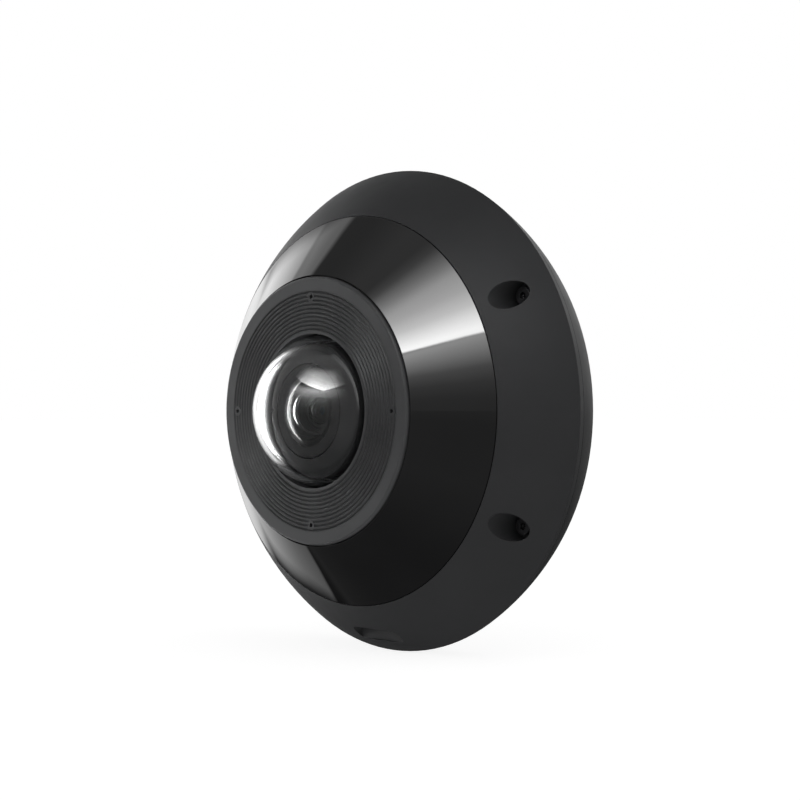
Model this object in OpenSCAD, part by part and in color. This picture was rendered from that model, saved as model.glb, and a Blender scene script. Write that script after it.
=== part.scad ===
// 360 degree fisheye network camera for a wall or ceiling.
// The wall face lies on y = 0 with its centre at the origin, the lens looks along -Y and +Z is up.
// Every sub-part is drawn about its own axis: r is the radius, and h is the height above the wall.

/* [Outer shell] */
// Diameter of the widest rim
rim_d = 161.5; // [158:0.5:170]
// Height of the widest rim above the wall
rim_h = 16; // [15.5:0.1:18]
// How far the base tucks in from the rim to the wall, along the radius
flank_run = 7.9; // [7:0.1:8.5]
// Outward bulge of the base's flank
flank_bulge = 0.55; // [0.3:0.05:0.8]
// Width of the skirt from the rim to the window's seam, along the radius
skirt_run = 16.75; // [16.5:0.05:17.5]
// Height of the window's seam above the wall
seam_h = 35.7; // [35:0.1:37.5]
// Outward bulge of the skirt
skirt_bulge = 0.9; // [0.6:0.05:1.2]
// Wall of the skirt
skirt_wall = 3; // [2.6:0.1:3.2]
// Length of the pill-shaped notch at the bottom of the skirt
notch_len = 21; // [16:0.5:26]
// Width of the notch
notch_w = 4.3; // [3.6:0.1:4.8]
// Depth of the notch at its outer edge
notch_depth = 0.5; // [0.3:0.1:1]

/* [Wall base] */
// Wall of the base
base_wall = 3; // [2.6:0.1:3.4]
// Thickness of the base's floor
base_floor = 2.5; // [2:0.1:2.7]
// How far below the rim the base ends and the skirt begins
split_drop = 3; // [2.8:0.1:3.4]
// Diameter of the cable opening in the base
cable_hole_d = 58; // [56:0.5:62]
// Pitch circle diameter of the wall screws
wall_pcd = 110; // [100:1:112]
// Diameter of each wall screw hole
wall_hole_d = 4.5; // [4:0.1:5.5]
// Number of wall screw holes
wall_holes = 4; // [3:1:6]
// Width of the foam gasket behind the base
gasket_w = 5; // [4:0.5:6]
// Depth of the gasket's groove
gasket_h = 1.2; // [1:0.1:1.4]

/* [Window and ring] */
// Wall of the infrared window
window_wall = 2.5; // [2.2:0.1:2.8]
// Width of the window's top edge round the ring
window_rim_w = 0.2; // [0.1:0.05:0.6]
// Height of the ring's face above the wall
ring_h = 53.8; // [53.2:0.1:55]
// Thickness of the front ring
ring_t = 3; // [2.8:0.1:3.3]
// How far the ring stands above the window's top edge
ring_proud = 1.2; // [0.9:0.1:1.5]
// Gap between the dome and the ring
dome_gap = 0.4; // [0.3:0.05:0.8]
// Number of grooves on the ring's face
groove_count = 10; // [6:1:10]
// Pitch of the grooves
groove_pitch = 1.322; // [1.2:0.001:1.34]
// Distance of the innermost groove from the ring's opening
groove_inset = 1.45; // [1.3:0.05:1.6]
// Width of each groove
groove_w = 0.86; // [0.6:0.02:1]
// Depth of each groove
groove_depth = 0.4; // [0.2:0.05:0.6]
// Distance of the microphone ports outside the circle of the ring's screws
port_step = 4.95; // [4.7:0.05:5.2]
// Width of the ring outside the circle of the ports
ring_border = 6.5; // [6.2:0.05:7.2]
// Diameter of each microphone port
port_d = 1.4; // [0.8:0.1:1.6]
// Diameter of the plain pad round each port
port_pad_d = 3.2; // [2.8:0.1:3.6]

/* [Dome] */
// Outer diameter of the clear dome
dome_d = 50.2; // [49.6:0.1:50.4]
// Wall of the dome
dome_wall = 1.8; // [1.5:0.1:2]
// How far the dome's centre lies below the ring's face
dome_drop = 8; // [7.8:0.1:8.4]
// Width of the flange round the dome's foot
dome_flange_w = 4.1; // [3.8:0.1:4.3]
// Thickness of the flange
dome_flange_t = 2; // [1.6:0.1:2.4]

/* [Lens] */
// Height of the lens's front face above the dome's centre
lens_rise = 9.4; // [9:0.1:9.8]
// Diameter of the lens's front bezel
bezel_d = 29.8; // [29:0.1:30.4]
// Clear diameter of the front glass inside its bezel
glass_d = 22.9; // [22:0.1:23.4]
// Radius of curvature of the front glass
glass_curve_r = 15; // [14.4:0.1:17]
// Diameter of the lens barrel's thread
thread_d = 14; // [13:0.1:15]
// Gap between the shroud round the lens and the dome's inner wall
shroud_gap = 2; // [1.8:0.1:2.6]
// How far the shroud falls from the bezel to its own rim
shroud_fall = 2.2; // [1.8:0.1:2.6]
// Width of the dark joint between the lens's bezel and the shroud
shroud_joint = 0.4; // [0.2:0.05:0.6]

/* [Night filter] */
// Distance that the filter frame slides from day to night
filter_travel = 9; // [8.4:0.1:9.4]
// Half of the angle through which the lever swings
lever_half_angle = 30; // [28:1:32]

/* [Electronics] */
// Gap between the base's floor and the camera's back
back_gap = 1.5; // [1.4:0.1:1.8]
// Wall and floor of the inner housing
housing_wall = 2.5; // [2.2:0.1:2.8]
// Thickness of the main circuit board
board_t = 1.6; // [1.2:0.1:2]
// Height of the network socket
jack_h = 16; // [15.5:0.1:16.5]
// Width of the network socket's cavity
jack_cavity_w = 11.9; // [11.8:0.1:12.2]
// Height of the network socket's cavity, latch left out
jack_cavity_h = 6.9; // [6.7:0.1:7.1]
// Depth of the network socket's cavity
jack_cavity_depth = 12.6; // [12.4:0.1:13.4]
// Number of infrared lamps
ir_led_count = 12; // [8:1:16]

/* [Screws and button] */
// Distance of the security screws from the rim
screw_inset = 9.15; // [9:0.05:9.3]
// Angle of the security screws above the horizontal
screw_angle = 30; // [26:1:34]
// Diameter of the wells that sink the screw heads
well_d = 8.9; // [8.4:0.1:9]
// Height of the screws' seat above the rim's plane
seat_rise = 2; // [1.6:0.1:2.4]
// Diameter of the security screws' thread
screw_d = 3; // [2.8:0.1:3.2]
// Diameter of the security screws' heads
screw_head_d = 5.5; // [5.2:0.1:6]
// Height of the security screws' heads
screw_head_h = 2.5; // [2.2:0.1:3]
// Length of the security screws' shanks
screw_len = 12; // [11:0.5:13]
// Diameter of the reset button
button_d = 3.5; // [3:0.1:4]

/* [Clearances] */
// Gap at the seams that show
seam_gap = 0.2; // [0.1:0.05:0.3]
// Gap round the front ring
ring_gap = 0.45; // [0.3:0.05:0.6]
// Radial clearance of parts that fit inside one another
fit_gap = 0.06; // [0.05:0.01:0.1]

/* [Hidden] */
$fn = 96;
// Overshoot of cutting solids, so that no cut ends on a face
eps = 1;

// Shell radii and heights
rim_r = rim_d / 2;
back_r = rim_r - flank_run;
seam_r = rim_r - skirt_run;
split_h = rim_h - split_drop;
base_top_h = split_h - seam_gap;
back_edge = 0.5;
hole_gap = 0.1;
arc_fn = 240;

// Security screws, in wells in the skirt and bosses on the base
screw_r = rim_r - screw_inset;
screw_angles = [screw_angle, 180 - screw_angle, 180 + screw_angle, 360 - screw_angle];
seat_h = rim_h + seat_rise;
well_wall = 1.2;
well_boss_r = well_d / 2 + well_wall;
base_boss_r = 4;
screw_seal_t = 0.8;
screw_under_h = seat_h + screw_seal_t;
screw_hole_r = screw_d / 2 + 2 * hole_gap;
torx_r = 1.25;
torx_depth = 1.4;
torx_pin_r = 0.35;
star_lobe = 0.28;
hex_share = 0.7;
wall_hole_first = 45;

// Notch
notch_inset = 6.05;
notch_pad_border = [3, 4];
notch_pad_t = 4;
notch_r = rim_r - notch_inset;
notch_pad = [notch_len + notch_pad_border[0], notch_w + notch_pad_border[1], notch_pad_t];

// Small screws
m2_r = 1;
m2_head_r = 1.9;
m2_head_h = 1.3;
m3_r = 1.5;
m3_head_r = 2.75;
m3_head_h = 2.4;

// Dome, its seal and the bracket behind it, from the dome outward
ring_under_h = ring_h - ring_t;
dome_r = dome_d / 2;
dome_h = ring_h - dome_drop;
dome_in_r = dome_r - dome_wall;
dome_flange_r = dome_r + dome_flange_w;
dome_seal_t = 1.8;
collar_gap = 0.6;
collar_border = 0.2;
opening_r = sqrt(pow(dome_r, 2) - pow(ring_under_h - dome_h, 2)) + dome_gap;
groove_first_r = opening_r + groove_inset;
ring_boss_r = 2.2;
ring_boss_gap = 0.5;
ring_boss_root = 0.5;
ring_screw_r = dome_flange_r + ring_boss_gap + ring_boss_r;
ring_screw_count = 6;
ring_screw_first = 30;
ring_screw_bite = 4;
ring_screw_room = 1;
ring_edge = 0.8;
bracket_h = dome_h - dome_flange_t;
bracket_t = 2;
bracket_r = ring_screw_r + ring_boss_r;

// Ring and microphones
port_angles = [0, 90, 180, 270];
port_r = ring_screw_r + port_step;
port_pad_t = 1;
ring_r = port_r + ring_border;
mic_board_t = 0.8;
mic_board_h = ring_under_h - mic_board_t;
mic_board_gap = 0.15;
mic_board_edge_gap = 0.25;
mic_size = [3.8, 3, 1.1];

// Window, its seals and its flanges
window_seat_r = ring_r + ring_gap;
window_seat_w = 3.8;
window_seat_t = 2.5;
window_top_r = window_seat_r + window_rim_w;
window_top_h = ring_h - ring_proud;
window_slope = atan2(window_top_h - seam_h, seam_r - window_top_r);
window_drop = window_wall / cos(window_slope);
window_flange_t = 2;
window_flange_w = 1.8;
window_flange_drop = 7.9;
window_flange_r = seam_r + window_flange_w;
window_flange_h = seam_h - window_flange_drop;
window_seal_t = 1.1;
window_ledge_h = window_flange_h + window_flange_t + window_seal_t;
ring_seal_t = 0.8;
ring_seal_w = 1.4;
ring_seal_inset = 3;
ring_seal_r = window_seat_r - ring_seal_inset;
mic_board_in_r = bracket_r + mic_board_gap;
mic_board_r = window_seat_r - window_seat_w - mic_board_edge_gap;

// Lens, counted down from its front face
lens_h = dome_h + lens_rise;
bezel_r = bezel_d / 2;
bezel_t = 1.6;
bezel_lip_t = 0.6;
glass_r = glass_d / 2;
glass_edge_w = 0.45;
glass_edge_r = glass_r + glass_edge_w;
glass_seat_drop = 2;
glass_seat_h = lens_h - glass_seat_drop;
glass_shoulder_h = lens_h - bezel_lip_t;
glass_recess = 0.1;
glass_centre_h = lens_h - glass_recess - sqrt(pow(glass_curve_r, 2) - pow(glass_r, 2));
glass_apex_h = glass_centre_h + glass_curve_r;
glass_centre_t = 1.8;
glass_back_r = 8.7;
barrel_step = 0.5;
barrel_r = bezel_r - barrel_step;
barrel_flare_drop = 11.9;
barrel_flare_h = lens_h - barrel_flare_drop;
barrel_len = 18.6;
barrel_foot_h = lens_h - barrel_len;
barrel_foot_lip = 0.5;
thread_r = thread_d / 2;
second_r = 7.2;
second_seat_drop = 8.8;
second_seat_h = lens_h - second_seat_drop;
second_curve_r = 13.5;
second_apex_drop = 5;
second_apex_h = lens_h - second_apex_drop;
second_t = 1.5;
second_back_r = 6.2;
second_spacer_w = 1.6;
stop_drop = 10.4;
stop_h = lens_h - stop_drop;
stop_t = 0.5;
stop_hole_r = 1.8;
rear_r = 4.5;
rear_third_drop = 15;
rear_third_h = lens_h - rear_third_drop;
rear_third_t = 3.6;
rear_fourth_drop = 18.2;
rear_fourth_h = lens_h - rear_fourth_drop;
rear_fourth_t = 2.6;
rear_curve_r = 11;
rear_spacer_w = 0.7;
rear_spacer_r = rear_r - rear_spacer_w;
rear_sag = rear_curve_r - sqrt(pow(rear_curve_r, 2) - pow(rear_spacer_r, 2));
shroud_r = dome_in_r - shroud_gap;
shroud_wall = 1.2;
shroud_bulge = 0.5;
shroud_foot_w = 1.5;
shroud_foot_r = shroud_r + shroud_foot_w;
shroud_foot_t = 1.2;
bracket_in_step = 2.8;
bracket_in_r = shroud_r - bracket_in_step;

// Chassis plate under the lens
chassis_drop = 28.7;
chassis_h = lens_h - chassis_drop;
chassis_t = 2;
chassis_top_h = chassis_h + chassis_t;
sensor_pad_t = 0.5;
sensor_pad_w = 20;
sensor_board_h = chassis_top_h + sensor_pad_t;
sensor_board_t = 1.2;
holder_h = sensor_board_h + sensor_board_t;
sensor_size = [13.4, 11, 1.5];
sensor_room = [18, 15, 2.7];

// Filter frame and its two glasses
pane_bar = 0.8;
pane_w = filter_travel - pane_bar;
pane_size = [pane_w, pane_w, 0.8];
pane_lip = 0.5;
frame_border = [1.2, 1.9];
frame_size = [filter_travel + pane_w + 2 * frame_border[0], pane_w + 2 * frame_border[1], 1.6];
frame_gap = 0.3;
slot_h = holder_h + sensor_room[2];
slot_t = frame_size[2] + 2 * frame_gap;
frame_h = slot_h + frame_gap;

// Lens holder, with the filter's slot inside it
holder_wall = [2.6, 2.7];
holder_roof_t = 0.9;
holder_size = [
    frame_size[0] + filter_travel + 2 * (frame_gap + holder_wall[0]),
    frame_size[1] + 2 * (frame_gap + holder_wall[1]),
    sensor_room[2] + slot_t + holder_roof_t
];
holder_top_h = holder_h + holder_size[2];
tower_r = 10.5;
tower_drop = 14.2;
tower_top_h = lens_h - tower_drop;
lock_ring_t = 2;
lock_notch_r = 1;
light_hole_r = 6;

// Lever that drives the frame; its arm sweeps under the tower and in front of the holder
lever_r = filter_travel / 2 / sin(lever_half_angle);
lever_pin_r = 0.5;
lever_arm_t = 0.6;
lever_arm_w = 2.2;
lever_arm_h = frame_h + frame_size[2] + frame_gap;
lever_pivot_y = -(holder_size[1] / 2 + frame_gap + lever_arm_w / 2 + lever_r);
lug_w = 4;
lug_slot_w = 1.5;
lug_lip = 0.6;
lug_play = 0.5;
lug_slot_len = lever_r * (1 - cos(lever_half_angle)) + 2 * (lever_pin_r + lug_play);
lug_end_y = lever_pivot_y + lever_r * cos(lever_half_angle) - lever_pin_r - lug_play - lug_lip;
rotor_r = 2.2;
pivot_r = 0.5;
shelf_t = 1;
shelf_w = 16;
shelf_tail = 7.6;
shelf_end_y = lever_pivot_y - shelf_tail;
coil_size = [12, 4, 4.6];

// Sensor board round the holder
sensor_board_border = [2.8, 11, 1];
sensor_board_x = holder_size[0] / 2 + sensor_board_border[0];
sensor_board_top_y = holder_size[1] / 2 + sensor_board_border[1];
sensor_board_low_y = shelf_end_y - sensor_board_border[2];
sensor_screw_inset = [2.5, 3];
sensor_screw_spots = [
    for (
        y = [sensor_board_top_y - sensor_screw_inset[1], sensor_board_low_y + sensor_screw_inset[1]],
        s = [1, -1]
    ) [s * (sensor_board_x - sensor_screw_inset[0]), y]
];
sensor_boss_r = 2;

// Infrared lamps, on a board that stands on the chassis plate and clears the window
lamp_board_half_w = 4.8;
lamp_board_t = 1.6;
lamp_board_rise = 5.5;
lamp_board_h = chassis_top_h + lamp_board_rise;
lamp_board_gap = 1.75;
lamp_board_r = seam_r
    - (lamp_board_h + lamp_board_t + lamp_board_gap + window_drop - seam_h) / tan(window_slope);
lamp_ring_r = lamp_board_r - lamp_board_half_w;
lamp_size = [3.5, 3.5, 0.9];
lamp_dome_r = 1.5;
lamp_post_r = 2;
lamp_post_count = 6;
lamp_post_inset = 0.5;
chassis_border = 1.6;
chassis_r = lamp_ring_r + chassis_border;

// Housing and main board
housing_step = 1.4;
housing_r = seam_r + housing_step;
housing_in_r = housing_r - housing_wall;
housing_h = base_floor + back_gap;
housing_floor_h = housing_h + housing_wall;
socket_rise = 0.4;
socket_h = housing_h + socket_rise;
board_h = socket_h + jack_h;
board_top_h = board_h + board_t;
board_gap = 2.5;
board_r = housing_in_r - board_gap;
ear_count = 6;
ear_r = 3.6;
ear_ring_step = 5.6;
ear_ring_r = seam_r + ear_ring_step;
ear_t = 2.5;
ear_h = seat_h - ear_t;
pilot_r = 1.25;
pilot_depth = 8;
pilot_room = 1;
pilot_wall = 2;
post_r = 3;
post_peg_len = 0.5;
post_inset = 5;
post_ring_r = chassis_r - post_inset;
post_angles = [45, 135, 225, 315];
chip_size = [17, 17, 1.6];
spreader_margin = 7;
housing_seal_w = 1.3;
housing_seal_t = 0.8;
housing_seal_step = 0.6;
housing_seal_r = housing_in_r + housing_seal_step;

// Network socket, seen from behind through the base's cable opening
jack_side = [2.05, 3.3];
jack_w = jack_cavity_w + 2 * jack_side[0];
jack_d = jack_cavity_h + 2 * jack_side[1];
jack_x = -5;
jack_y = -2;
gasket_frame_w = 1.4;
socket_room = [jack_w + 2 * gasket_frame_w, jack_d + 2 * gasket_frame_w];
latch_w = 6;
latch_h = 1.6;
contact_count = 8;
contact_pitch = 1.02;
contact_size = [0.45, 0.35, 6];

// Reset button and switch
button_x = 13;
button_y = 8;
button_r = button_d / 2;
button_travel = 0.6;
button_recess = 0.5;
button_flange_w = 1;
button_flange_r = button_r + button_flange_w;
button_flange_t = 1;
button_stem_step = 0.4;
button_stem_r = button_r - button_stem_step;
button_gap = 0.05;
switch_size = [6, 6, 3.5];
switch_cap_r = 1.4;
switch_cap_h = 1.4;
switch_cap_play = 0.3;
switch_bore_depth = 1.5;
switch_face_h = board_h - switch_size[2];
switch_cap_top_h = switch_face_h + switch_bore_depth - button_travel - switch_cap_play;

// Pressure vent
vent_x = -3;
vent_y = 19;
vent_r = 4;
vent_flange_r = 5.2;
vent_flange_t = 1;
vent_rim_w = 1.2;

// Ribbons, each with a bend at its top that reaches under its own board
flex_t = 0.3;
flex_w = 8;
flex_foot = 4;
flex_room = 0.6;
sensor_flex_gap = 3;
sensor_flex_r = sensor_board_x + sensor_flex_gap;
sensor_flex_angle = 0;
sensor_flex_run = 5;
mic_flex_inset = 2;
mic_flex_r = mic_board_in_r + mic_flex_inset;
mic_flex_angle = 225;
mic_flex_run = 1;
lamp_flex_gap = 1;
lamp_flex_r = chassis_r + lamp_flex_gap;
lamp_flex_angle = 90;
lamp_flex_run = 2;

// Centre of the circle through p and q whose arc bulges by s to the right of the way from p to q
function arc_radius(p, q, s) = norm(q - p) * norm(q - p) / (8 * s) + s / 2;
function arc_centre(p, q, s) =
    let (t = (q - p) / norm(q - p), n = [-t[1], t[0]])
    (p + q) / 2 + n * (arc_radius(p, q, s) - s);

// Height of the window's outer cone at a radius
function window_outer_h(r) = seam_h + (seam_r - r) * tan(window_slope);
// Height of the skirt's outer surface at a radius
skirt_arc_r = arc_radius([rim_r, rim_h], [seam_r, seam_h], skirt_bulge);
skirt_arc_c = arc_centre([rim_r, rim_h], [seam_r, seam_h], skirt_bulge);
flank_arc_r = arc_radius([back_r, 0], [rim_r, rim_h], flank_bulge);
flank_arc_c = arc_centre([back_r, 0], [rim_r, rim_h], flank_bulge);
function skirt_outer_h(r) = skirt_arc_c[1] + sqrt(pow(skirt_arc_r, 2) - pow(r - skirt_arc_c[0], 2));
notch_floor_h = skirt_outer_h(notch_r + notch_w / 2) - notch_depth;

// Turns the local axis away from the wall, along -Y
module axial() {
    rotate([90, 0, 0]) children();
}

module at(x, y, h) {
    translate([x, y, h]) children();
}

// Places children at radius r, angle a and height h, turned to face outward
module polar(r, a, h) {
    rotate([0, 0, a]) translate([r, 0, h]) children();
}

// Copies children to count places at radius r, the first of them at an angle
module around(r, count, first) {
    for (i = [0 : count - 1]) polar(r, first + i * 360 / count, 0) children();
}

module disc(r, h0, h1) {
    translate([0, 0, h0]) cylinder(r = r, h = h1 - h0);
}

module ring(r_out, r_in, h0, h1) {
    difference() {
        disc(r_out, h0, h1);
        disc(r_in, h0 - eps, h1 + eps);
    }
}

// Block centred on x and y, standing on height h
module block(size, h) {
    translate([-size[0] / 2, -size[1] / 2, h]) cube(size);
}

// Half profile inside the outer surfaces, set back by the wall t, between two heights
module shell_profile(t, h0, h1) {
    intersection() {
        translate([0, h0]) square([rim_r + eps, h1 - h0]);
        translate(flank_arc_c) circle(r = flank_arc_r - t, $fn = arc_fn);
        translate(skirt_arc_c) circle(r = skirt_arc_r - t, $fn = arc_fn);
    }
}

// Pan-head screw whose head's underside is on h, shank towards the wall
module screw(shank_r, len, head_r, head_h, h) {
    disc(shank_r, h - len, h);
    difference() {
        disc(head_r, h, h + head_h);
        translate([0, 0, h + head_h - torx_r / 2]) cylinder(r = shank_r * hex_share, h = eps, $fn = 6);
    }
}

// Dish that stays on the wall and holds the four bosses for the security screws
module mount_base() {
    color("#26272a") axial() difference() {
        union() {
            rotate_extrude() difference() {
                shell_profile(0, 0, base_top_h);
                shell_profile(base_wall, base_floor, base_top_h + eps);
            }
            intersection() {
                rotate_extrude() shell_profile(0, 0, base_top_h);
                for (a = screw_angles) polar(screw_r, a, 0) disc(base_boss_r, base_floor / 2, base_top_h);
            }
        }
        disc(cable_hole_d / 2, -eps, base_floor + eps);
        around(wall_pcd / 2, wall_holes, wall_hole_first)
            disc(wall_hole_d / 2, -eps, base_floor + eps);
        for (a = screw_angles) polar(screw_r, a, 0)
            disc(screw_d / 2 + fit_gap, base_floor, base_top_h + eps);
        ring(back_r - back_edge, back_r - back_edge - gasket_w, -eps, gasket_h);
    }
}

module wall_gasket() {
    color("#111213") axial() ring(back_r - back_edge, back_r - back_edge - gasket_w, 0, gasket_h);
}

// Front cover: it wraps the rim and meets the base below it
module skirt_shell() {
    color("#323335") axial() difference() {
        union() {
            rotate_extrude() difference() {
                shell_profile(0, split_h, seam_h);
                shell_profile(skirt_wall, split_h - eps, seam_h + eps);
            }
            intersection() {
                rotate_extrude() shell_profile(0, split_h, seam_h);
                union() {
                    for (a = screw_angles) polar(screw_r, a, 0) disc(well_boss_r, split_h, seam_h);
                    around(ear_ring_r, ear_count, 0)
                        disc(pilot_r + pilot_wall, seat_h, seam_h);
                    translate([0, -notch_r, 0]) block(notch_pad, notch_floor_h - notch_pad[2] / 2);
                }
            }
        }
        disc(seam_r + seam_gap, split_h - eps, seam_h + eps);
        disc(window_flange_r + seam_gap, split_h - eps, window_ledge_h);
        for (a = screw_angles) polar(screw_r, a, 0) {
            disc(well_d / 2, seat_h, seam_h);
            disc(screw_hole_r, split_h - eps, seat_h + eps);
        }
        around(ear_ring_r, ear_count, 0)
            disc(pilot_r, seat_h - eps, seat_h + pilot_depth);
        translate([0, -notch_r, notch_floor_h]) linear_extrude(height = seam_h) notch_outline();
    }
}

module notch_outline() {
    square([notch_len - notch_w, notch_w], center = true);
    for (s = [-1, 1]) translate([s * (notch_len - notch_w) / 2, 0]) circle(d = notch_w);
}

// Glossy conical window that the infrared lamps shine through
module infrared_window() {
    tail_r = seam_r - window_wall;
    inner_top_h = ring_under_h - window_seat_t;
    inner_top_r = seam_r - (inner_top_h + window_drop - seam_h) / tan(window_slope);
    color("#141416") axial() difference() {
        rotate_extrude() polygon([
            [seam_r, seam_h],
            [window_top_r, window_top_h],
            [window_seat_r, window_top_h],
            [window_seat_r, ring_under_h],
            [window_seat_r - window_seat_w, ring_under_h],
            [window_seat_r - window_seat_w, inner_top_h],
            [inner_top_r, inner_top_h],
            [tail_r, window_outer_h(tail_r) - window_drop],
            [tail_r, window_flange_h],
            [window_flange_r, window_flange_h],
            [window_flange_r, window_flange_h + window_flange_t],
            [seam_r, window_flange_h + window_flange_t]
        ]);
        ring(ring_seal_r + ring_seal_w, ring_seal_r, ring_under_h - ring_seal_t, ring_under_h + eps);
    }
}

module window_seal() {
    color("#1b1b1b") axial() ring(
        window_flange_r, seam_r + seam_gap,
        window_ledge_h - window_seal_t, window_ledge_h
    );
}

module ring_seal() {
    color("#1b1b1b") axial() ring(
        ring_seal_r + ring_seal_w, ring_seal_r,
        ring_under_h - ring_seal_t, ring_under_h
    );
}

// Grooved ring that holds the dome down
module front_ring() {
    collar_r = dome_flange_r + collar_border;
    collar_in_r = dome_r + collar_gap;
    color("#424345") axial() difference() {
        union() {
            rotate_extrude() difference() {
                union() {
                    translate([opening_r, ring_under_h]) square([ring_r - opening_r - ring_edge, ring_t]);
                    translate([opening_r, ring_under_h]) square([ring_r - opening_r, ring_t - ring_edge]);
                    translate([ring_r - ring_edge, ring_h - ring_edge]) circle(r = ring_edge);
                    translate([collar_in_r, dome_h + dome_seal_t])
                        square([collar_r - collar_in_r, ring_under_h - dome_h - dome_seal_t]);
                }
                for (i = [0 : groove_count - 1]) translate([groove_first_r + i * groove_pitch, ring_h])
                    polygon([[-groove_w / 2, eps], [-groove_w / 2, 0], [0, -groove_depth],
                             [groove_w / 2, 0], [groove_w / 2, eps]]);
            }
            for (a = port_angles) polar(port_r, a, 0) disc(port_pad_d / 2, ring_h - port_pad_t, ring_h);
            around(ring_screw_r, ring_screw_count, ring_screw_first)
                disc(ring_boss_r, bracket_h, ring_under_h + ring_boss_root);
        }
        for (a = port_angles) polar(port_r, a, 0) disc(port_d / 2, ring_under_h - eps, ring_h + eps);
        around(ring_screw_r, ring_screw_count, ring_screw_first)
            disc(m2_r, bracket_h - eps, bracket_h + ring_screw_bite + ring_screw_room);
    }
}

// Clear dome with a flange round its foot
module dome_cover() {
    color([0.85, 0.9, 0.92, 0.3]) axial() difference() {
        union() {
            intersection() {
                translate([0, 0, dome_h]) sphere(r = dome_r);
                disc(dome_r + eps, dome_h, dome_h + dome_r + eps);
            }
            disc(dome_flange_r, dome_h - dome_flange_t, dome_h);
        }
        translate([0, 0, dome_h]) sphere(r = dome_in_r);
        disc(dome_in_r, dome_h - dome_flange_t - eps, dome_h);
    }
}

module dome_seal() {
    color("#1b1b1b") axial() ring(dome_flange_r, dome_r + collar_gap, dome_h, dome_h + dome_seal_t);
}

// Plate behind the dome's flange, screwed to the ring
module front_bracket() {
    color("#55585c") axial() difference() {
        ring(bracket_r, bracket_in_r, bracket_h - bracket_t, bracket_h);
        around(ring_screw_r, ring_screw_count, ring_screw_first)
            disc(m2_r + hole_gap, bracket_h - bracket_t - eps, bracket_h + eps);
    }
}

// Screws that come from behind the bracket
module ring_screws() {
    color("silver") axial() around(ring_screw_r, ring_screw_count, ring_screw_first)
        at(0, 0, bracket_h - bracket_t) mirror([0, 0, 1])
            screw(m2_r, bracket_t + ring_screw_bite, m2_head_r, m2_head_h, 0);
}

// Ring-shaped circuit board under the microphone ports
module mic_board() {
    color("#1f5138") axial() difference() {
        ring(mic_board_r, mic_board_in_r, mic_board_h, ring_under_h);
        for (a = port_angles) polar(port_r, a, 0)
            disc(port_d / 2, mic_board_h - eps, ring_under_h + eps);
    }
}

module microphones() {
    color("gold") axial() for (a = port_angles)
        polar(port_r, a, 0) block([mic_size[1], mic_size[0], mic_size[2]], mic_board_h - mic_size[2]);
}

// Matte cover that hides the works round the lens
module lens_shroud() {
    top = [bezel_r + shroud_joint, lens_h];
    side = [shroud_r, lens_h - shroud_fall];
    arc_r = arc_radius(side, top, shroud_bulge);
    arc_c = arc_centre(side, top, shroud_bulge);
    color("#2b2c2e") axial() rotate_extrude() union() {
        difference() {
            intersection() {
                translate([top[0], bracket_h]) square([side[0] - top[0], lens_h - bracket_h]);
                translate(arc_c) circle(r = arc_r, $fn = arc_fn);
            }
            translate([top[0] - eps, bracket_h - eps])
                square([side[0] - top[0] - shroud_wall + eps, side[1] - bracket_h - shroud_wall + eps]);
        }
        translate([side[0] - shroud_wall, bracket_h])
            square([shroud_foot_r - side[0] + shroud_wall, shroud_foot_t]);
    }
}

module lens_bezel() {
    color("#2e2f31") axial() difference() {
        disc(bezel_r, lens_h - bezel_t, lens_h);
        disc(glass_r, lens_h - bezel_t - eps, lens_h + eps);
        disc(glass_edge_r + fit_gap, lens_h - bezel_t - eps, glass_shoulder_h);
    }
}

// Bulging front glass, hollow behind
module front_glass() {
    color([0.6, 0.7, 0.75, 0.35]) axial() difference() {
        union() {
            disc(glass_edge_r, glass_seat_h, glass_shoulder_h);
            intersection() {
                disc(glass_r - fit_gap, glass_seat_h, glass_apex_h + eps);
                translate([0, 0, glass_centre_h]) sphere(r = glass_curve_r);
            }
        }
        translate([0, 0, glass_apex_h - glass_centre_t - glass_back_r]) sphere(r = glass_back_r);
    }
}

module second_glass() {
    color([0.6, 0.7, 0.75, 0.35]) axial() difference() {
        intersection() {
            disc(second_r, second_seat_h, second_apex_h + eps);
            translate([0, 0, second_apex_h - second_curve_r]) sphere(r = second_curve_r);
        }
        translate([0, 0, second_apex_h - second_t - second_back_r]) sphere(r = second_back_r);
    }
}

module biconvex(r, h, t) {
    intersection() {
        disc(r, h, h + t);
        translate([0, 0, h + rear_curve_r]) sphere(r = rear_curve_r);
        translate([0, 0, h + t - rear_curve_r]) sphere(r = rear_curve_r);
    }
}

module rear_glasses() {
    color([0.6, 0.7, 0.75, 0.35]) axial() {
        biconvex(rear_r, rear_third_h, rear_third_t);
        biconvex(rear_r, rear_fourth_h, rear_fourth_t);
    }
}

module lens_spacers() {
    color("#222222") axial() {
        ring(second_r, second_r - second_spacer_w, stop_h + stop_t, second_seat_h);
        ring(rear_r, rear_spacer_r, rear_fourth_h + rear_fourth_t - rear_sag, rear_third_h + rear_sag);
    }
}

module aperture_stop() {
    color("#0c0c0c") axial() ring(second_r, stop_hole_r, stop_h, stop_h + stop_t);
}

module lens_barrel() {
    color("#1a1a1b") axial() difference() {
        union() {
            disc(barrel_r, barrel_flare_h, lens_h - bezel_t);
            disc(thread_r, barrel_foot_h, barrel_flare_h);
        }
        disc(glass_edge_r + fit_gap, glass_seat_h, lens_h);
        disc(second_r + fit_gap, stop_h, lens_h);
        disc(rear_r + fit_gap, rear_fourth_h, lens_h);
        disc(rear_r - barrel_foot_lip, barrel_foot_h - eps, lens_h);
    }
}

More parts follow.
